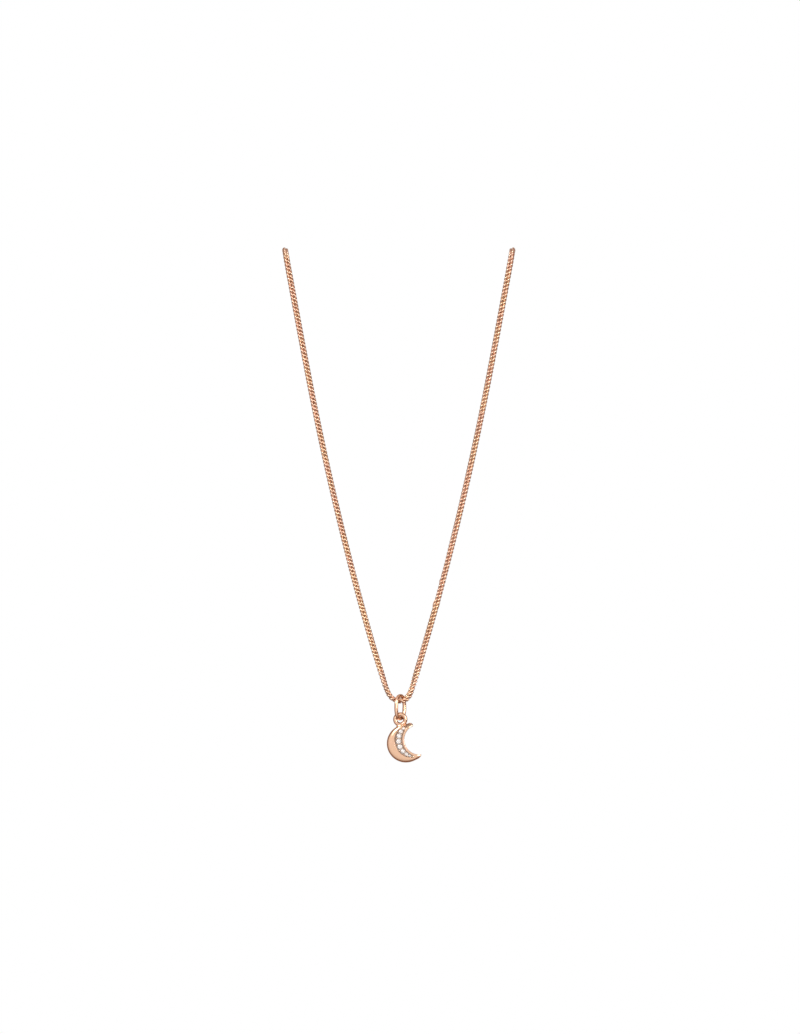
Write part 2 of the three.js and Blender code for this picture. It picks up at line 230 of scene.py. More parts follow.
def oval_ring(centre, across, along, half_across, half_along, wire_r, squareness, steps, sides, seam):
    """A closed ring of round wire, with a slight swelling where its ends were soldered together, at the
    angle seam in degrees. Its outline is a superellipse; squareness 2 is a plain ellipse."""
    centre, across, along = (np.asarray(v, float) for v in (centre, across, along))
    axis = np.cross(across, along)
    angle = 2 * np.pi * np.arange(steps) / steps

    def outline(a):
        c, s = np.cos(a), np.sin(a)
        power = 2 / squareness
        return (
            across * (half_across * np.sign(c) * np.abs(c) ** power)[:, None]
            + along * (half_along * np.sign(s) * np.abs(s) ** power)[:, None]
        )

    nudge = 1e-3
    tangents = outline(angle + nudge) - outline(angle - nudge)
    tangents /= np.linalg.norm(tangents, axis=1)[:, None]
    outs = np.cross(tangents, axis)
    away = (angle - math.radians(seam) + np.pi) % (2 * np.pi) - np.pi
    swelling = 0.07 * np.exp(-((away / 0.1) ** 2))
    joint_line = 0.05 * np.exp(-((away / 0.025) ** 2))
    radius = wire_r * (1 + swelling - joint_line)
    ups = np.broadcast_to(axis, (steps, 3))
    return swept(centre + outline(angle), outs, ups, radius, radius, sides, True)


def turned(points, sides, centre, axis, side):
    """A solid of revolution about axis, from [radius, height] points that start and end on it."""
    centre, axis, side = (np.asarray(v, float) for v in (centre, axis, side))
    other = np.cross(axis, side)
    angle = 2 * np.pi * np.arange(sides) / sides
    inner = points[1:-1]
    verts = [centre + axis * points[0][1]]
    for r, h in inner:
        verts.extend(centre + axis * h + r * (side * math.cos(a) + other * math.sin(a)) for a in angle)
    verts.append(centre + axis * points[-1][1])
    faces = [(0, 1 + (j + 1) % sides, 1 + j) for j in range(sides)]
    for i in range(len(inner) - 1):
        for j in range(sides):
            a, b = 1 + i * sides + j, 1 + i * sides + (j + 1) % sides
            faces.append((a, b, b + sides, a + sides))
    last = len(verts) - 1
    base = 1 + (len(inner) - 1) * sides
    faces.extend((base + j, base + (j + 1) % sides, last) for j in range(sides))
    return np.array(verts), faces


def outward(verts, faces):
    """The same solid with its faces pointing out."""
    mesh = bmesh.new()
    made = [mesh.verts.new(v) for v in np.asarray(verts, float).tolist()]
    for face in faces:
        mesh.faces.new([made[i] for i in face])
    bmesh.ops.recalc_face_normals(mesh, faces=mesh.faces)
    mesh.verts.index_update()
    result = [tuple(v.index for v in f.verts) for f in mesh.faces]
    mesh.free()
    return verts, result


def set_painted_shade(piece, values, domain):
    """How much painted shade each point or face corner gets, 0 to 1."""
    shade = np.repeat(np.asarray(values, float)[:, None], 4, axis=1)
    layer = piece.data.color_attributes.new("painted_shade", "FLOAT_COLOR", domain)
    layer.data.foreach_set("color", shade.astype(np.float32).ravel())


def set_inner_painted_shade(piece, sides, amount):
    """The same for swept wire with this many sides: painted shade on the side that faces its own ring's
    hole.
    """
    inner = np.clip(-np.cos(2 * np.pi * np.arange(sides) / sides), 0, 1)
    set_painted_shade(piece, np.tile(amount * inner, len(piece.data.vertices) // sides), "POINT")


CUT_SHARP_DEG = 52


def cut(piece, cutters, operation="DIFFERENCE"):
    """Cuts each cutter, a (verts, faces) solid, out of the piece, or joins it to the piece."""
    for i, (verts, faces) in enumerate(cutters):
        tool = mesh_object(f"tool_{i}", verts, faces, piece.data.materials[0], None)
        modifier = piece.modifiers.new("cut", "BOOLEAN")
        modifier.operation = operation
        modifier.object = tool
        modifier.solver = "EXACT"
        depsgraph = bpy.context.evaluated_depsgraph_get()
        made = bpy.data.meshes.new_from_object(piece.evaluated_get(depsgraph))
        piece.modifiers.clear()
        old = piece.data
        piece.data = made
        bpy.data.meshes.remove(old)
        bpy.data.objects.remove(tool)
    piece.data.name = piece.name
    piece.data.polygons.foreach_set("use_smooth", [True] * len(piece.data.polygons))
    piece.data.set_sharp_from_angle(angle=math.radians(CUT_SHARP_DEG))
    return piece


def place(piece, body, slot, *nodes):
    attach(piece, body)
    if nodes:
        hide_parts(*nodes)
    return piece


def smooth(low, high, value):
    t = np.clip((np.asarray(value, float) - low) / (high - low), 0, 1)
    return t * t * (3 - 2 * t)


# ---------------------------------------------------------------- chain

# The route of the chain's centreline, millimetres, from the clasp's upper side to its lower side.
BEND_R = 2.6
STRAND = [(23.86, 0), (17.81, -32), (13.41, -52), (8.36, -72), (4.32, -86), (2.25, -92.25), (1.38, -93.3)]
BOTTOM_Z = -93.75
TOP_LEAN = 0.17  # how far outwards the strands run for each mm upwards, over the bar
BAR_ANGLES = (45, 90, 135)  # round the bar, from the front
BAIL_X = 0.32  # where the bail ring draws the bottom of the front half to
DRAW_HEIGHT = 4  # over which that fades out upwards
UPPER_END = (9.94406, -66.12667)  # x and z, of the chain's end above the clasp
LOWER_END = (7.53191, -75.00482)  # and below it
CHAIN_D = 1.24


def chain_points():
    points = []

    def drawn(y, z):
        return BAIL_X * math.exp((BOTTOM_Z - z) / DRAW_HEIGHT) if y < 0 else 0

    def down(side, y, rows):
        points.extend((side * x + drawn(y, z), y, z) for x, z in rows)

    def over_bar(side, angles):
        for deg in angles:
            z = BEND_R * math.sin(math.radians(deg))
            points.append((side * (STRAND[0][0] + TOP_LEAN * z), -BEND_R * math.cos(math.radians(deg)), z))

    upwards = STRAND[::-1]
    points.append((UPPER_END[0], BEND_R, UPPER_END[1]))
    down(1, BEND_R, [row for row in upwards if row[1] > UPPER_END[1] + 1])
    over_bar(1, BAR_ANGLES[::-1])
    down(1, -BEND_R, STRAND)
    points.append((BAIL_X, -BEND_R, BOTTOM_Z))
    down(-1, -BEND_R, upwards)
    over_bar(-1, BAR_ANGLES)
    down(-1, BEND_R, STRAND)
    points.append((0, BEND_R, BOTTOM_Z))
    down(1, BEND_R, [row for row in upwards if row[1] < LOWER_END[1] - 1])
    points.append((LOWER_END[0], BEND_R, LOWER_END[1]))
    return np.array(points)


def catmull_rom(points, steps):
    """A centripetal Catmull-Rom curve through the points, with this many steps from each to the next."""
    padded = np.vstack([2 * points[0] - points[1], points, 2 * points[-1] - points[-2]])
    curve = []
    for i in range(len(points) - 1):
        p0, p1, p2, p3 = padded[i : i + 4]
        d0, d1, d2 = (np.linalg.norm(b - a) ** 0.5 for a, b in ((p0, p1), (p1, p2), (p2, p3)))
        t1 = ((p1 - p0) / d0 - (p2 - p0) / (d0 + d1) + (p2 - p1) / d1) * d1
        t2 = ((p2 - p1) / d1 - (p3 - p1) / (d1 + d2) + (p3 - p2) / d2) * d1
        t = np.linspace(0, 1, steps, endpoint=False)[:, None]
        square = -3 * p1 + 3 * p2 - 2 * t1 - t2
        cube = 2 * p1 - 2 * p2 + t1 + t2
        curve.append(p1 + t1 * t + square * t**2 + cube * t**3)
    return np.vstack([*curve, points[-1:]])


PITCH = 0.82
WIRE_R = 0.2
LINK_HALF_LENGTH = PITCH / 2 + WIRE_R  # of the wire's centreline, so that neighbours just bear
LINK_HALF_WIDTH = CHAIN_D / 2 - WIRE_R
LINK_TWIST = 0.3  # how far its wire leaves its plane
LINK_SLANT = 0.65  # how far along the chain it leans for each mm of width
LINK_POWER = 0.86  # exponent of its outline; 1 is a plain ellipse
LINK_STEPS, LINK_SIDES = 24, 8
LINK_PAINTED_SHADE = 0.5  # how much painted shade the wire gets on the side that faces the link's hole
ROLL = math.radians(24)  # the chain lies turned about its own line
TURN_LENGTH = 8.0  # over which the chain turns edge on at the V's bottoms and at its upper end
EDGE_ON_LENGTH = 2.5  # each side of a bottom, where it stays edge on
ROUTE_STEPS = 200  # from one point of the route to the next
DIRECTION_REACH = 0.3  # each way along the route, for its direction


def link(hand):
    """One curb link: a slanted oval of round wire, twisted by hand (1 or -1)."""
    angle = 2 * np.pi * np.arange(LINK_STEPS) / LINK_STEPS

    def centreline(a):
        c, s = np.cos(a), np.sin(a)
        x = LINK_HALF_LENGTH * np.sign(c) * np.abs(c) ** LINK_POWER
        y = LINK_HALF_WIDTH * np.sign(s) * np.abs(s) ** LINK_POWER
        return np.stack([x - hand * LINK_SLANT * y, y, hand * LINK_TWIST * np.sin(2 * a)], axis=1)

    nudge = 1e-2
    tangents = centreline(angle + nudge) - centreline(angle - nudge)
    tangents /= np.linalg.norm(tangents, axis=1)[:, None]
    outs = np.cross(tangents, (0, 0, 1))
    outs /= np.linalg.norm(outs, axis=1)[:, None]
    ups = np.cross(outs, tangents)
    return swept(centreline(angle), outs, ups, WIRE_R, WIRE_R, LINK_SIDES, True)


def make_chain():
    route = catmull_rom(chain_points(), ROUTE_STEPS)
    along = np.concatenate([[0], np.cumsum(np.linalg.norm(np.diff(route, axis=0), axis=1))])
    total = along[-1]
    count = round(total / PITCH) + 1
    stations = np.linspace(0, total, count)

    def at(distance):
        return np.stack([np.interp(distance, along, route[:, i]) for i in range(3)], axis=1)

    centres = at(stations)
    ahead = at(np.minimum(stations + DIRECTION_REACH, total))
    tangents = ahead - at(np.maximum(stations - DIRECTION_REACH, 0))
    tangents /= np.linalg.norm(tangents, axis=1)[:, None]
    facing = np.where(centres[:, 2:] > 0, centres * (0, 1, 1), centres * (0, 1, 0))
    facing /= np.linalg.norm(facing, axis=1)[:, None]
    across = np.cross(facing, tangents)
    across /= np.linalg.norm(across, axis=1)[:, None]
    normals = np.cross(tangents, across)

    front = route[:, 1] < 0
    bottoms = [along[np.argmin(np.where(side, route[:, 2], 0))] for side in (front, ~front)]
    edge_on = 1 - smooth(0, TURN_LENGTH, stations)
    for bottom in bottoms:
        away = np.abs(stations - bottom)
        edge_on += 1 - smooth(EDGE_ON_LENGTH, EDGE_ON_LENGTH + TURN_LENGTH, away)
    turn = ROLL + (np.pi / 2 - ROLL) * edge_on
    turned_across = across * np.cos(turn)[:, None] + normals * np.sin(turn)[:, None]
    turned_normals = np.cross(tangents, turned_across)

    verts, faces = [], []
    shapes = {hand: link(hand) for hand in (1, -1)}
    for i in range(count):
        hand = 1 if stations[i] < bottoms[0] else -1
        shape, shape_faces = shapes[hand]
        axes = np.stack([tangents[i], turned_across[i], turned_normals[i]])
        start = i * len(shape)
        verts.append(centres[i] + shape @ axes)
        faces.extend([tuple(k + start for k in face) for face in shape_faces])
    piece = mesh_object("chain_links", np.concatenate(verts) * MM, faces, CHAIN_GOLD, None)
    # Painted shade on each link's wire, on the side that faces its hole.
    set_inner_painted_shade(piece, LINK_SIDES, LINK_PAINTED_SHADE)
    place(piece, "necklace_chain", "chain_gold", "chain")


make_chain()

# ---------------------------------------------------------------- bail ring

BAIL_TURN = math.radians(58)
BAIL_CENTRE = (BAIL_X, -BEND_R, -95.06)
BAIL_SHAPE = (1.64, 2.42, 0.4, 2.4)  # half width, half height, wire radius and squareness
BAIL_AXES = ((math.cos(BAIL_TURN), math.sin(BAIL_TURN), 0), (0, 0, 1))


def make_bail():
    verts, faces = oval_ring(BAIL_CENTRE, *BAIL_AXES, *BAIL_SHAPE, steps=120, sides=28, seam=-8)
    piece = mesh_object("bail_wire", verts * MM, faces, ROSE)
    place(piece, "bail", "rose_gold", "bail_ring")


make_bail()

# ---------------------------------------------------------------- charm, from its loop's centre [x, z]

CHARM = np.array([BAIL_X, -BEND_R, -97.67])
LOOP_R, LOOP_WIRE_R = 1.08, 0.45
# Its wire's sides, and how much painted shade the wire gets on the side that faces its hole.
LOOP_SIDES, LOOP_PAINTED_SHADE = 28, 0.7
OUTER_CENTRE, OUTER_R = np.array([1.2, -5.12]), 4.07
OPENING_CENTRE, OPENING_R = np.array([4.06, -4.27]), 3.2
CHANNEL_CENTRE, CHANNEL_R = np.array([2.31, -4.48]), 3.56
CHANNEL_END_CENTRE, CHANNEL_END_R = np.array([0.03, -5.13]), 3.72
RIM = 0.4
FRONT, THICK, CHANNEL_DEPTH = -0.84, 1.5, 0.3
MIDDLE = FRONT + THICK / 2
FLOOR = FRONT + CHANNEL_DEPTH
DOME = 1.5  # width of the front's rounding from the outer edge
BACK_EDGE, INNER_EDGE = 0.45, 0.2  # roundings of the back, at the outer edge and at the opening
CHANNEL_RIDGE = 0.05  # how far the front rises along the channel's outer side
CHANNEL_FADE = 0.35  # before the channel's end circle, over which it gets shallower
# How much painted shade darkens the channel's floor and walls and the stones' seats.
CHANNEL_PAINTED_SHADE = 0.75
CLOSED_CHANNEL = (0.6, 0.64)  # where the channel closes up past its ends, as shares of the width
# The outer edge swells near each tip: [how much, how far from the tip, over what length].
UPPER_SWELL, LOWER_SWELL = (0.42, 0.7, 0.6), (0.15, 0.8, 0.7)
TIP_DEPTH, TAPER_LENGTH = 0.62, 2.2  # the tips' share of the thickness, and where it starts to fall
SECTIONS = 190
UPPER_STOP, LOWER_STOP = 0.376, 0.33  # where the sections stop short of the tips
NOSE_STEPS, NOSE_REACH = 8, 0.45

STONES = (0.72, 0.92, 1.07, 1.14, 1.12, 1.0, 0.84, 0.66)
STONE_ARC_CENTRE, STONE_ARC_R = np.array([3.13, -4.38]), 3.52
STONE_ARC_START = math.radians(134)
STONE_SPACING = 0.07
CROWN, PAVILION, GIRDLE, TABLE = 0.16, 0.43, 0.04, 0.56  # as shares of a stone's diameter
STAR, LOWER_HALF, CULET = 0.8, 0.24, 0.03  # the facets' corners, as shares of its radius
STONE_SPIN = 0.35  # how much further each stone is turned than the one before
SEAT_GAP, SEAT_HOLE = 0.02, 0.22


def charm_point(x, y, z):
    return CHARM + (x, y, z)


def circles_meet(c0, r0, c1, r1):
    """Where two circles cross, upper point first."""
    apart = c1 - c0
    distance = np.linalg.norm(apart)
    reach = (r0**2 - r1**2 + distance**2) / (2 * distance)
    rise = math.sqrt(r0**2 - reach**2)
    middle = c0 + apart / distance * reach
    across = np.array([-apart[1], apart[0]]) / distance * rise
    return sorted((middle + across, middle - across), key=lambda p: -p[1])


def bearing(centre, point):
    return math.atan2(point[1] - centre[1], point[0] - centre[0]) % (2 * math.pi)


def crossing(start, end, centre, radius):
    """How far along start to end the line first crosses the circle."""
    direction = end - start
    length = np.linalg.norm(direction)
    direction = direction / length
    offset = start - centre
    b = direction @ offset
    inside = b * b - (offset @ offset - radius**2)
    if inside <= 0:
        return None
    return -b - math.sqrt(inside)


def crescent_section(outer, inner, taper):
    """The outline of one section from the outer edge to the opening and back: [distance, y] rows."""
    width = np.linalg.norm(inner - outer)
    channel_start = crossing(outer, inner, CHANNEL_CENTRE, CHANNEL_R)
    channel_end = crossing(outer, inner, OPENING_CENTRE, OPENING_R + RIM)
    share = 0.0
    closed_start, closed_end = (part * width for part in CLOSED_CHANNEL)
    if channel_start is None or channel_end is None:
        channel_start, channel_end = closed_start, closed_end
    else:
        centre = outer + (inner - outer) / width * (channel_start + channel_end) / 2
        spare = CHANNEL_END_R - np.linalg.norm(centre - CHANNEL_END_CENTRE)
        share = float(smooth(-CHANNEL_FADE, 0.0, spare))
    depth = CHANNEL_DEPTH * share
    channel_start = closed_start + (channel_start - closed_start) * share
    channel_end = closed_end + (channel_end - closed_end) * share
    dome = min(DOME, 0.93 * channel_start)
    rows = []
    for deg in (0, 8, 18, 30, 42, 54, 66, 78, 90):
        a = math.radians(deg)
        rows.append((dome * (1 - math.cos(a)), FRONT + 0.5 * THICK * (1 - math.sin(a))))
    ridge = CHANNEL_RIDGE * share
    lip = channel_start - dome
    rows += [
        (dome + 0.25 * lip, FRONT),
        (dome + 0.6 * lip, FRONT - 0.6 * ridge),
        (dome + 0.85 * lip, FRONT - ridge),
        (channel_start, FRONT - 0.7 * ridge),
    ]
    wall = min(0.03, 0.1 * (channel_end - channel_start))
    rows.append((channel_start + wall, FRONT + depth * 0.92))
    for share_across in (0.06, 0.3, 0.5, 0.7, 0.94):
        rows.append((channel_start + share_across * (channel_end - channel_start), FRONT + depth))
    rows.append((channel_end - wall, FRONT + depth * 0.92))
    rim = width - channel_end
    rounding = min(0.09, 0.45 * rim)
    rows += [
        (channel_end, FRONT + 0.02 * share),
        (channel_end + 0.2 * rim, FRONT),
        (width - rounding, FRONT),
        (width - 0.3 * rounding, FRONT + 0.3 * rounding),
        (width, FRONT + rounding),
    ]
    back = FRONT + THICK
    edge = min(INNER_EDGE, 0.3 * width)
    rows += [
        (width, MIDDLE),
        (width, back - edge),
        (width - 0.3 * edge, back - 0.3 * edge),
        (width - edge, back),
    ]
    outer_edge = min(BACK_EDGE, 0.4 * width)
    rows += [(outer_edge + f * (width - edge - outer_edge), back) for f in (0.8, 0.6, 0.4, 0.2)]
    for deg in (90, 70, 50, 30, 10):
        a = math.radians(deg)
        rows.append((outer_edge * (1 - math.cos(a)), back - outer_edge * (1 - math.sin(a))))
    return [(d, MIDDLE + (y - MIDDLE) * taper) for d, y in rows]


def crescent_rows():
    upper, lower = circles_meet(OUTER_CENTRE, OUTER_R, OPENING_CENTRE, OPENING_R)
    spans = []
    for centre in (OUTER_CENTRE, OPENING_CENTRE):
        spans.append((bearing(centre, upper), bearing(centre, lower)))
    sections = []
    stations = 0.5 - 0.5 * np.cos(np.linspace(UPPER_STOP, math.pi - LOWER_STOP, SECTIONS))
    for u in stations:
        ends = []
        for centre, radius, (start, end) in zip(
            (OUTER_CENTRE, OPENING_CENTRE), (OUTER_R, OPENING_R), spans
        ):
            a = start + (end - start) * u
            ends.append(centre + radius * np.array([math.cos(a), math.sin(a)]))
        outer, inner = ends
        to_upper, to_lower = np.linalg.norm(outer - upper), np.linalg.norm(outer - lower)
        swell = 0.0
        for away, (most, middle, length) in ((to_upper, UPPER_SWELL), (to_lower, LOWER_SWELL)):
            swell += most * math.exp(-(((away - middle) / length) ** 2))
        outer = outer + swell * (outer - OUTER_CENTRE) / OUTER_R
        to_tip = min(to_upper, to_lower)
        taper = TIP_DEPTH + (1 - TIP_DEPTH) * float(smooth(0, TAPER_LENGTH, to_tip))
        direction = (inner - outer) / np.linalg.norm(inner - outer)
        rows = crescent_section(outer, inner, taper)
        flat = [outer + direction * d for d, _ in rows]
        sections.append(np.array([charm_point(x, y, z) for (x, z), (_, y) in zip(flat, rows)]))
    return sections


def rounded_end(section, inner_section):
    """More sections past an end one that close it with a round nose."""
    centre = section.mean(axis=0)
    outwards = centre - inner_section.mean(axis=0)
    outwards /= np.linalg.norm(outwards)
    reach = NOSE_REACH * np.ptp(section[:, [0, 2]], axis=0).max()
    extra = []
    for i in range(1, NOSE_STEPS + 1):
        a = 0.5 * math.pi * i / (NOSE_STEPS + 0.35)
        extra.append(centre + (section - centre) * math.cos(a) + outwards * reach * math.sin(a))
    return extra


def stone_places():
    angle = STONE_ARC_START
    places = []
    for i, diameter in enumerate(STONES):
        if i:
            angle += ((STONES[i - 1] + diameter) / 2 + STONE_SPACING) / STONE_ARC_R
        centre = STONE_ARC_CENTRE + STONE_ARC_R * np.array([math.cos(angle), math.sin(angle)])
        places.append((diameter, centre, angle))
    return places


def seat(diameter, centre):
    r = diameter / 2 + SEAT_GAP
    step = FLOOR + GIRDLE * diameter + SEAT_GAP
    slope = (PAVILION - GIRDLE) * 2
    hole = SEAT_HOLE * diameter
    flare = 1.5 * hole
    back = FRONT + THICK
    profile = [
        (0, FRONT - 1),
        (r, FRONT - 1),
        (r, step),
        (hole, step + slope * (r - hole)),
        (hole, back - 0.2),
        (flare, back + 0.1),
        (0, back + 0.1),
    ]
    return outward(*turned(profile, 40, charm_point(centre[0], 0, centre[1]) * MM, (0, MM, 0), (MM, 0, 0)))


def turned_mm(profile, sides, centre, axis=(0, 1, 0), side=(1, 0, 0)):
    verts, faces = turned(profile, sides, centre, axis, side)
    return outward(verts * MM, faces)


def make_crescent():
    rows = crescent_rows()
    first = rounded_end(rows[0], rows[3])[::-1]
    last = rounded_end(rows[-1], rows[-4])
    sections = np.array([*first, *rows, *last])
    count, points = sections.shape[:2]
    faces = grid_faces(count, points, False, True)
    faces.append(tuple(reversed(range(points))))
    faces.append(tuple(range((count - 1) * points, count * points)))
    verts, faces = outward(sections.reshape(-1, 3) * MM, faces)
    piece = mesh_object("crescent", verts, faces, ROSE)
    cutters = [seat(diameter, centre) for diameter, centre, _ in stone_places()]
    cut(piece, cutters)
    # Painted shade on the faces sunk in the channel: its floor, its walls and the stones' seats.
    middles = np.array([face.center for face in piece.data.polygons]) / MM - CHARM
    flat = middles[:, [0, 2]]
    sunk = (middles[:, 1] > FRONT + 0.05) & (middles[:, 1] < FRONT + THICK - 0.25)
    inside = np.linalg.norm(flat - CHANNEL_CENTRE, axis=1) < CHANNEL_R + 0.02
    beyond = np.linalg.norm(flat - OPENING_CENTRE, axis=1) > OPENING_R + RIM - 0.02
    corners = [len(face.vertices) for face in piece.data.polygons]
    painted_shade_share = np.where(sunk & inside & beyond, CHANNEL_PAINTED_SHADE, 0.0)
    set_painted_shade(piece, np.repeat(painted_shade_share, corners), "CORNER")
    place(piece, "charm", "rose_gold", "crescent_body")


make_crescent()


def brilliant(diameter, centre, spin):
    """A round brilliant: table, stars, kites, upper and lower halves, mains and a small culet."""
    r = diameter / 2
    crown, pavilion = CROWN * diameter, PAVILION * diameter
    half_girdle = GIRDLE * diameter / 2
    eighth = math.cos(math.pi / 8)
    rings = [
        (8, 0, TABLE, crown),
        (8, 0.5, STAR, half_girdle + (crown - half_girdle) * (1 - STAR * eighth) / (1 - TABLE)),
        (16, 0, 1.0, half_girdle),
        (16, 0, 1.0, -half_girdle),
        (8, 0.5, LOWER_HALF, -half_girdle - (pavilion - half_girdle) * (1 - LOWER_HALF * eighth)),
        (8, 0, CULET, -pavilion * 0.98),
    ]
    mesh = bmesh.new()
    for count, shift, share, height in rings:
        for i in range(count):
            a = spin + 2 * math.pi * (i + shift) / count
            y = FLOOR + half_girdle - height
            point = charm_point(centre[0] + share * r * math.cos(a), y, centre[1] + share * r * math.sin(a))
            mesh.verts.new(point * MM)
    bmesh.ops.convex_hull(mesh, input=mesh.verts)
    bmesh.ops.dissolve_limit(mesh, angle_limit=math.radians(2), verts=mesh.verts, edges=mesh.edges)
    bmesh.ops.recalc_face_normals(mesh, faces=mesh.faces)
    return mesh


def make_stones():
    for i, (diameter, centre, angle) in enumerate(stone_places()):
        name = f"cut_stone_{i + 1}"
        data = bpy.data.meshes.new(name)
        mesh = brilliant(diameter, centre, angle + STONE_SPIN * i)
        mesh.to_mesh(data)
        mesh.free()
        data.materials.append(STONE)
        piece = bpy.data.objects.new(name, data)
        SCENE.collection.objects.link(piece)
        place(piece, "charm", "stone", f"stone_{i + 1}")


make_stones()


# Beads: how far from the stones' arc, and their radius, as shares of a stone's diameter.
BEAD_LEAN, BEAD_R = 0.43, 0.16
END_BEAD_LEAN, END_BEAD_STEP = 0.27, 0.72  # the step is a share of the end bead's own
END_BEAD_R, CORNER_BEAD_R = 0.14, 0.1
BEAD_SINK = 0.15
TIP_BEAD_ANGLE, TIP_BEAD_R, TIP_BEAD_HEIGHT, TIP_BEAD_SINK = 0.2, 0.17, 0.14, 0.3


def dome_profile(r, height, sink):
    """A bead's [radius, height] points, from its foot this far below the surface to its top."""
    rows = [(0, sink), (r, sink)]
    for i in range(6):
        a = math.pi * i / 12
        rows.append((r * math.cos(a), -height * math.sin(a)))
    rows.append((0, -height))
    return rows


def make_beads():
    """Beads of metal raised at the stones' girdles, in pairs between neighbours and at both ends."""
    places = stone_places()
    spots = []
    for i in range(len(places) - 1):
        (d0, c0, a0), (d1, c1, a1) = places[i], places[i + 1]
        share = d0 / (d0 + d1)
        angle = a0 + (a1 - a0) * share
        lean = BEAD_LEAN * (d0 + d1) / 2
        for side in (-1, 1):
            spots.append((STONE_ARC_R + side * lean, angle, BEAD_R * (d0 + d1) / 2))
    first, last = places[0], places[-1]
    for (diameter, _, angle), way in ((first, -1), (last, 1)):
        step = (diameter / 2 + STONE_SPACING) / STONE_ARC_R
        spots.append((STONE_ARC_R, angle + way * step, END_BEAD_R))
        for side in (-1, 1):
            reach = STONE_ARC_R + side * END_BEAD_LEAN * diameter
            spots.append((reach, angle + way * END_BEAD_STEP * step, CORNER_BEAD_R))
    parts = []
    for reach, angle, r in spots:
        x, z = STONE_ARC_CENTRE + reach * np.array([math.cos(angle), math.sin(angle)])
        parts.append(turned_mm(dome_profile(r, 0.2 + 0.5 * r, BEAD_SINK), 16, charm_point(x, FLOOR, z)))
    tip = last[2] + TIP_BEAD_ANGLE
    x, z = STONE_ARC_CENTRE + STONE_ARC_R * np.array([math.cos(tip), math.sin(tip)])
    profile = dome_profile(TIP_BEAD_R, TIP_BEAD_HEIGHT, TIP_BEAD_SINK)
    parts.append(turned_mm(profile, 16, charm_point(x, FRONT, z)))
    piece = mesh_object("setting_beads", *joined(parts), PAVE_GOLD)
    place(piece, "charm", "rose_gold")


make_beads()


def make_loop():
    shape = (LOOP_R, LOOP_R, LOOP_WIRE_R, 2)
    verts, faces = oval_ring(CHARM, (1, 0, 0), (0, 0, 1), *shape, steps=96, sides=LOOP_SIDES, seam=118)
    piece = mesh_object("loop_wire", verts * MM, faces, ROSE)
    # Painted shade on the loop's wire, on the side that faces its hole.
    set_inner_painted_shade(piece, LOOP_SIDES, LOOP_PAINTED_SHADE)
    place(piece, "charm", "rose_gold", "charm_loop")


make_loop()


def make_solder():
    """The flared fillet that joins the loop to the crescent."""
    towards = OUTER_CENTRE / np.linalg.norm(OUTER_CENTRE)
    across = np.array([-towards[1], towards[0]])
    rows = [
        (0.80, 0.90, 0.34),
        (0.92, 1.02, 0.37),
        (1.05, 1.06, 0.39),
        (1.2, 1.1, 0.42),
        (1.36, 1.2, 0.46),
        (1.52, 1.38, 0.5),
        (1.68, 1.62, 0.54),
        (1.86, 1.9, 0.55),
        (2.1, 2.1, 0.5),
    ]
    centres, outs, ups, out_r, up_r = [], [], [], [], []
    for distance, half_width, half_depth in rows:
        x, z = towards * distance
        centres.append(charm_point(x, 0.5 * MIDDLE * (distance - 0.8), z))
        outs.append((across[0], 0, across[1]))
        ups.append((0, 1, 0))
        out_r.append(half_width)
        up_r.append(half_depth)
    verts, faces = outward(*swept(centres, outs, ups, out_r, up_r, 40, False))
    piece = mesh_object("loop_solder", verts * MM, faces, ROSE, 70)
    place(piece, "charm", "rose_gold")


make_solder()

# ---------------------------------------------------------------- clasp

LEAN = math.radians(15.2)
CLASP_CENTRE = np.array([8.62, BEND_R, -71])
CLASP_AXES = np.array(
    [[math.cos(LEAN), 0, -math.sin(LEAN)], [0, 1, 0], [math.sin(LEAN), 0, math.cos(LEAN)]]
)
CLASP_R, CLASP_TUBE_R, BORE_R = 1.85, 0.38, 0.25
# Angles are in degrees, clockwise from the top towards the back.
GATE, SOCKET, BORE_END = (20, 75), 9, 256
BOLT_R, BOLT_END, KNOB = 0.2, 100, 89
KNOB_NECK_R, KNOB_R, KNOB_HEIGHT = 0.11, 0.24, 0.28
SLOT, SLOT_R, SLOT_SINK = (80, 158), 0.16, 0.08
SPRING, SPRING_R, SPRING_WIRE_R, SPRING_TURNS = (103, 252), 0.16, 0.045, 13
# The rings that join it to the chain's ends, by their heights from its centre along the strand.
TAIL_Z, JUMP_Z, UPPER_LINK_Z, CATCH_Z, LOWER_LINK_Z = 2.8, 3.63, 4.39, -2.24, -3.38
TAIL_R, TAIL_WIRE_R = 0.5, 0.17
JUMP_R, JUMP_WIRE_R = 0.7, 0.16
UPPER_LINK_R, LOWER_LINK_R, END_LINK_WIRE_R = 0.44, 0.55, 0.18
CATCH_SHAPE = (0.58, 0.95, 0.14, 3)  # half width, half height, wire radius and squareness


def clasp_point(x, y, z):
    return CLASP_CENTRE + np.array([x, y, z]) @ CLASP_AXES


def clasp_arc(radius, start_deg, end_deg, tube_r, steps, sides):
    """A tube bent round the clasp's centre, clockwise from the top towards the back."""
    angle = np.radians(np.linspace(start_deg, end_deg, steps))
    outs = np.stack([np.zeros(steps), np.sin(angle), np.cos(angle)], axis=1) @ CLASP_AXES
    centres = CLASP_CENTRE + radius * outs
    ups = np.broadcast_to(CLASP_AXES[0], (steps, 3))
    verts, faces = swept(centres, outs, ups, tube_r, tube_r, sides, False)
    return outward(verts * MM, faces)


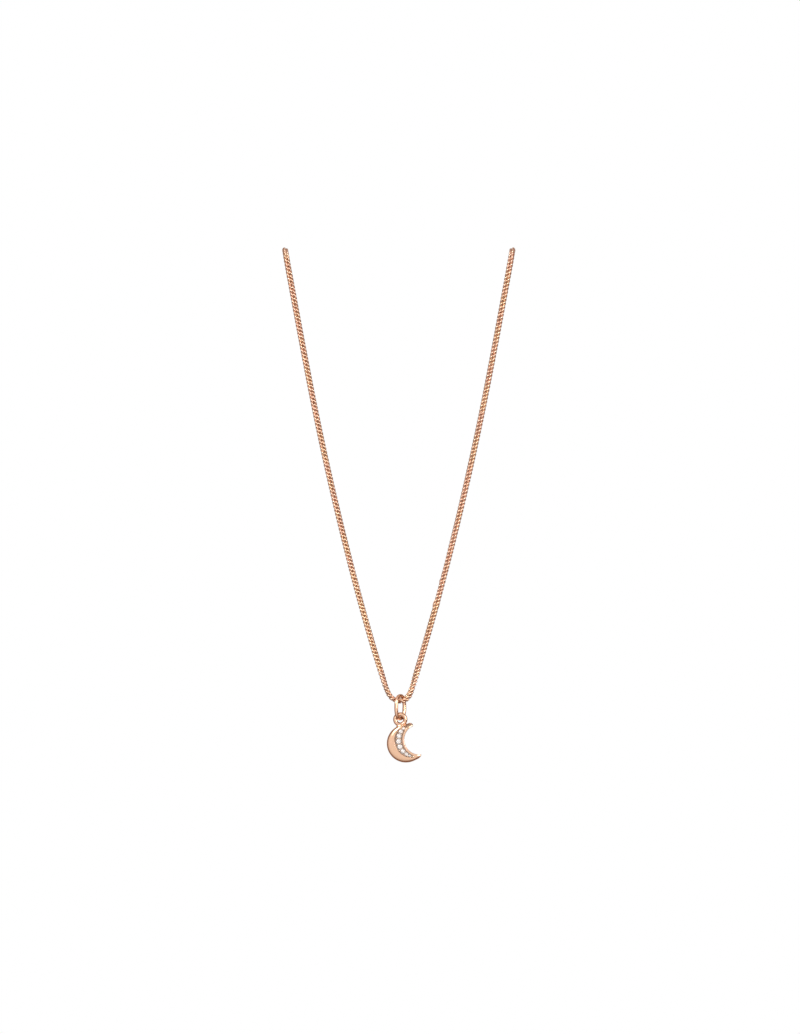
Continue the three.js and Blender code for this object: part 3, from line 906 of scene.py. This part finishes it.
def make_clasp():
    tube_end = 360 + GATE[0]
    verts, faces = clasp_arc(CLASP_R, GATE[1], tube_end, CLASP_TUBE_R, 72, 24)
    body = mesh_object("clasp_ring", verts, faces, ROSE)
    outside = CLASP_R + CLASP_TUBE_R
    cut(
        body,
        [
            clasp_arc(CLASP_R, GATE[1] - 5, BORE_END, BORE_R, 48, 20),
            clasp_arc(CLASP_R, tube_end - SOCKET - 2, tube_end + 5, BORE_R, 8, 20),
            clasp_arc(outside - SLOT_SINK, *SLOT, SLOT_R, 24, 14),
        ],
    )
    place(body, "clasp", "rose_gold", "clasp_ring_body")

    rod = clasp_arc(CLASP_R, GATE[0] - SOCKET, BOLT_END, BOLT_R, 40, 20)
    bolt = mesh_object("clasp_rod", *rod, ROSE)
    knob = math.radians(KNOB)
    axis = np.array([0, math.sin(knob), math.cos(knob)]) @ CLASP_AXES
    neck_top = outside + 0.08
    knob_top = neck_top + KNOB_HEIGHT
    profile = [
        (0, CLASP_R),
        (KNOB_NECK_R, CLASP_R),
        (KNOB_NECK_R, neck_top),
        (KNOB_R - 0.04, neck_top + 0.02),
        (KNOB_R, neck_top + 0.06),
        (KNOB_R, knob_top - 0.1),
        (KNOB_R - 0.04, knob_top - 0.03),
        (KNOB_R / 2, knob_top),
        (0, knob_top),
    ]
    cut(bolt, [turned_mm(profile, 24, CLASP_CENTRE, axis, CLASP_AXES[0])], "UNION")
    place(bolt, "bolt", "rose_gold", "clasp_bolt")


def make_spring():
    steps = SPRING_TURNS * 20
    t = np.linspace(0, 1, steps)
    arc = np.radians(SPRING[0] + (SPRING[1] - SPRING[0]) * t)
    wind = 2 * np.pi * SPRING_TURNS * t
    reach = CLASP_R + SPRING_R * np.cos(wind)
    local = np.stack([SPRING_R * np.sin(wind), reach * np.sin(arc), reach * np.cos(arc)], axis=1)
    centres = CLASP_CENTRE + local @ CLASP_AXES
    tangents = np.gradient(centres, axis=0)
    tangents /= np.linalg.norm(tangents, axis=1)[:, None]
    radial = np.stack([np.zeros(steps), np.sin(arc), np.cos(arc)], axis=1)
    core = radial @ CLASP_AXES * CLASP_R + CLASP_CENTRE
    outs = centres - core
    outs -= tangents * (outs * tangents).sum(axis=1)[:, None]
    outs /= np.linalg.norm(outs, axis=1)[:, None]
    ups = np.cross(tangents, outs)
    verts, faces = outward(*swept(centres, outs, ups, SPRING_WIRE_R, SPRING_WIRE_R, 8, False))
    spring = mesh_object("clasp_coil", verts * MM, faces, STEEL)
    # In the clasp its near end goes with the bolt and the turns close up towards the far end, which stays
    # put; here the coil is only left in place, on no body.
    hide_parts("clasp_spring")
    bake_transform(spring)


make_clasp()
make_spring()


def make_closure_rings():
    x_axis, y_axis, z_axis = CLASP_AXES
    tail, jump, upper, lower = (
        (radius, radius, wire_r, 2)
        for radius, wire_r in (
            (TAIL_R, TAIL_WIRE_R),
            (JUMP_R, JUMP_WIRE_R),
            (UPPER_LINK_R, END_LINK_WIRE_R),
            (LOWER_LINK_R, END_LINK_WIRE_R),
        )
    )
    rings = [
        ("tail_loop_wire", "clasp", "clasp_tail_loop", TAIL_Z, x_axis, tail, 90),
        ("jump_ring_wire", "jump_ring", "clasp_jump_ring", JUMP_Z, y_axis, jump, 30),
        ("end_link_upper", "necklace_chain", "chain_end_link_upper", UPPER_LINK_Z, x_axis, upper, 160),
        ("catch_ring_wire", "catch", "catch_ring", CATCH_Z, x_axis, CATCH_SHAPE, 10),
        ("end_link_lower", "necklace_chain", "chain_end_link_lower", LOWER_LINK_Z, y_axis, lower, 20),
    ]
    for name, body, node, height, across, shape, seam in rings:
        centre = clasp_point(0, 0, height)
        verts, faces = oval_ring(centre, across, z_axis, *shape, steps=64, sides=18, seam=seam)
        piece = mesh_object(name, verts * MM, faces, ROSE)
        place(piece, body, "rose_gold", node)
    foot = [
        (0, -0.2),
        (0.33, -0.2),
        (0.32, -0.08),
        (0.25, -0.01),
        (0.21, 0.07),
        (0, 0.07),
    ]
    base = CLASP_R + CLASP_TUBE_R
    verts, faces = turned_mm(foot, 24, clasp_point(0, 0, base), z_axis, x_axis)
    solder = mesh_object("tail_solder", verts, faces, ROSE, 70)
    place(solder, "clasp", "rose_gold")


make_closure_rings()

# ---------------------------------------------------------------- studio

FLOOR_Z, FLOOR_HALF = -0.5, 1.1
ROOM_COLOUR, TENT_COLOUR = (0.24, 0.14, 0.10), (1.0, 0.985, 0.97)


def make_floor():
    verts = [(FLOOR_HALF * x, FLOOR_HALF * y, FLOOR_Z) for x, y in ((-1, -1), (1, -1), (1, 1), (-1, 1))]
    material, nodes, links, shader = new_material("floor_paint")
    coords = nodes.new("ShaderNodeTexCoord").outputs["Object"]
    mottle = noise_node(nodes, links, coords, 3.0, 2.0)
    paint = mix_node(nodes, links, mottle, (0.9, 0.9, 0.9), (0.93, 0.93, 0.93))
    links.new(paint, shader.inputs["Base Color"])
    shader.inputs["Roughness"].default_value = 0.9
    floor = mesh_object("studio_floor", verts, [(0, 1, 2, 3)], material, None)
    floor.visible_glossy = False


def make_world():
    """White to the camera; to the metal, a bright tent in front and a dim room behind."""
    world = bpy.data.worlds.new("studio")
    world.use_nodes = True
    SCENE.world = world
    nodes, links = world.node_tree.nodes, world.node_tree.links
    nodes.clear()
    direction = nodes.new("ShaderNodeTexCoord").outputs["Generated"]
    split = nodes.new("ShaderNodeSeparateXYZ")
    links.new(direction, split.inputs["Vector"])

    def ramp(value, *limits):
        return range_node(nodes, links, value, *limits, "SMOOTHSTEP")

    def combine(operation, a, b):
        node = nodes.new("ShaderNodeMath")
        node.operation = operation
        links.new(a, node.inputs[0])
        links.new(b, node.inputs[1])
        return node.outputs["Value"]

    lean = nodes.new("ShaderNodeMath")
    lean.operation = "MULTIPLY"
    lean.inputs[1].default_value = 0.25
    links.new(split.outputs["X"], lean.inputs[0])
    front = ramp(combine("ADD", split.outputs["Y"], lean.outputs["Value"]), -0.93, -0.2, 1.06, 0.0)
    behind = ramp(split.outputs["Y"], 0.62, 0.97, 0.0, 0.85)
    above = ramp(split.outputs["Z"], 0.5, 0.95, 0.0, 0.5)
    height = ramp(split.outputs["Z"], -0.7, 0.5, 0.85, 1.1)
    light = combine("ADD", combine("MULTIPLY", front, height), combine("ADD", behind, above))
    tent = nodes.new("ShaderNodeBackground")
    links.new(mix_node(nodes, links, light, ROOM_COLOUR, TENT_COLOUR), tent.inputs["Color"])
    white = nodes.new("ShaderNodeBackground")
    white.inputs["Color"].default_value = (1, 1, 1, 1)
    path = nodes.new("ShaderNodeLightPath")
    mix = nodes.new("ShaderNodeMixShader")
    links.new(path.outputs["Is Camera Ray"], mix.inputs["Fac"])
    links.new(tent.outputs["Background"], mix.inputs[1])
    links.new(white.outputs["Background"], mix.inputs[2])
    output = nodes.new("ShaderNodeOutputWorld")
    links.new(mix.outputs["Shader"], output.inputs["Surface"])


def area_light(name, location, target, size, power, glossy=True):
    data = bpy.data.lights.new(name, "AREA")
    data.shape = "RECTANGLE"
    data.size, data.size_y = size
    data.energy = power
    data.color = (1.0, 0.98, 0.95)
    light = bpy.data.objects.new(name, data)
    light.location = location
    aim = Vector(target) - Vector(location)
    light.rotation_euler = aim.to_track_quat("-Z", "Y").to_euler()
    light.visible_camera = False
    light.visible_glossy = glossy
    SCENE.collection.objects.link(light)


def make_studio():
    make_floor()
    make_world()
    target = (0, 0, -0.06)
    area_light("key_left", (-0.45, -0.75, 0.35), target, (0.3, 0.3), 3.5)
    area_light("fill_right", (0.6, -0.6, 0.05), target, (0.25, 0.4), 3.0)
    area_light("floor_wash", (0, 0, 1.6), (0, 0, 0), (3.5, 3.5), 110.0, glossy=False)
    SCENE.view_settings.view_transform = "Standard"


make_studio()
